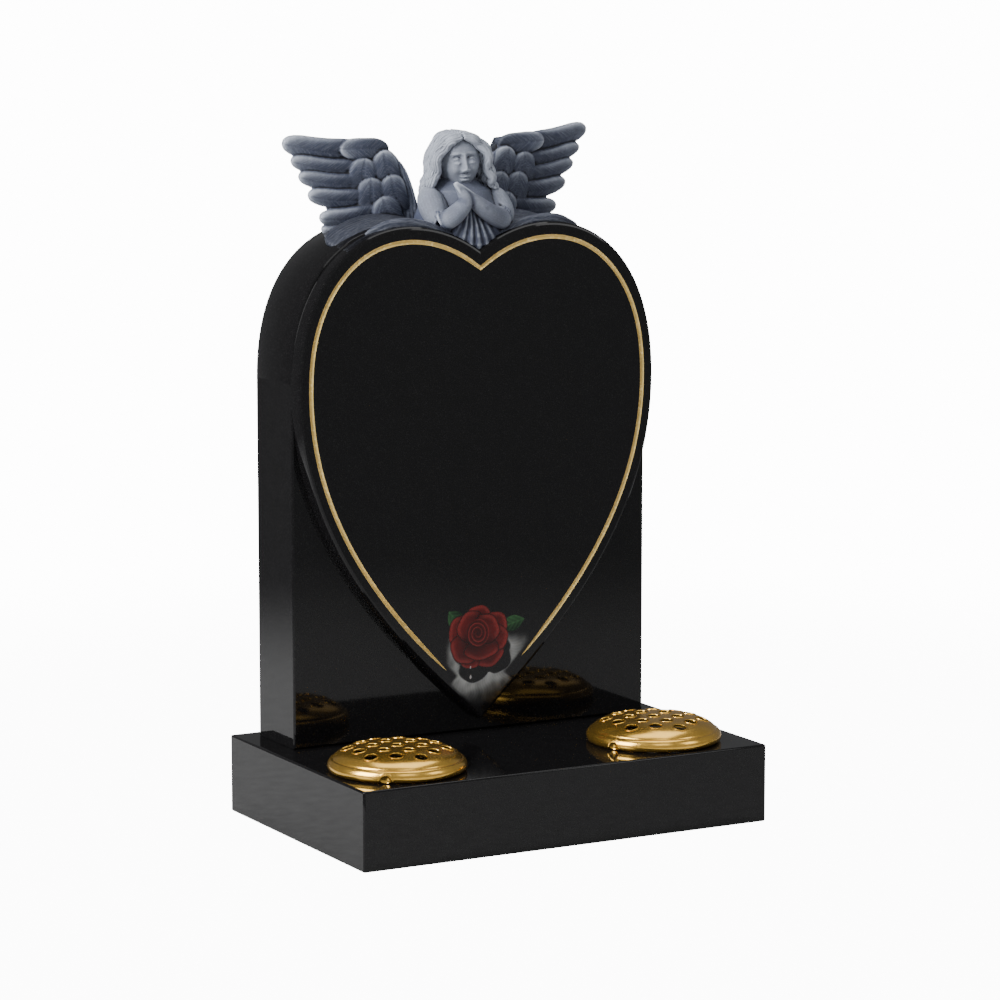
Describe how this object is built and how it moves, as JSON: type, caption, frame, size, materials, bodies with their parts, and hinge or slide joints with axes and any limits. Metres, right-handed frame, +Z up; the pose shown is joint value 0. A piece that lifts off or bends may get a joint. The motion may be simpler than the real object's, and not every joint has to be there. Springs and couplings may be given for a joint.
{
  "type": "heart headstone",
  "caption": "Polished black granite headstone with a raised heart, a carved angel with spread wings on top, and a base with pierced flower lids.",
  "frame": {"origin": "middle of the base's underside", "axes": "+Z up, -Y out of the heart's face, +X to the viewer's right"},
  "size_m": [0.457, 0.305, 0.6987],
  "materials": {
    "black_granite": "polished",
    "gold_lid": "satin"
  },
  "bodies": {
    "root": {"base": "black_granite", "headstone": "black_granite", "flower_lid_left": "gold_lid", "flower_lid_right": "gold_lid"}
  },
  "joints": []
}
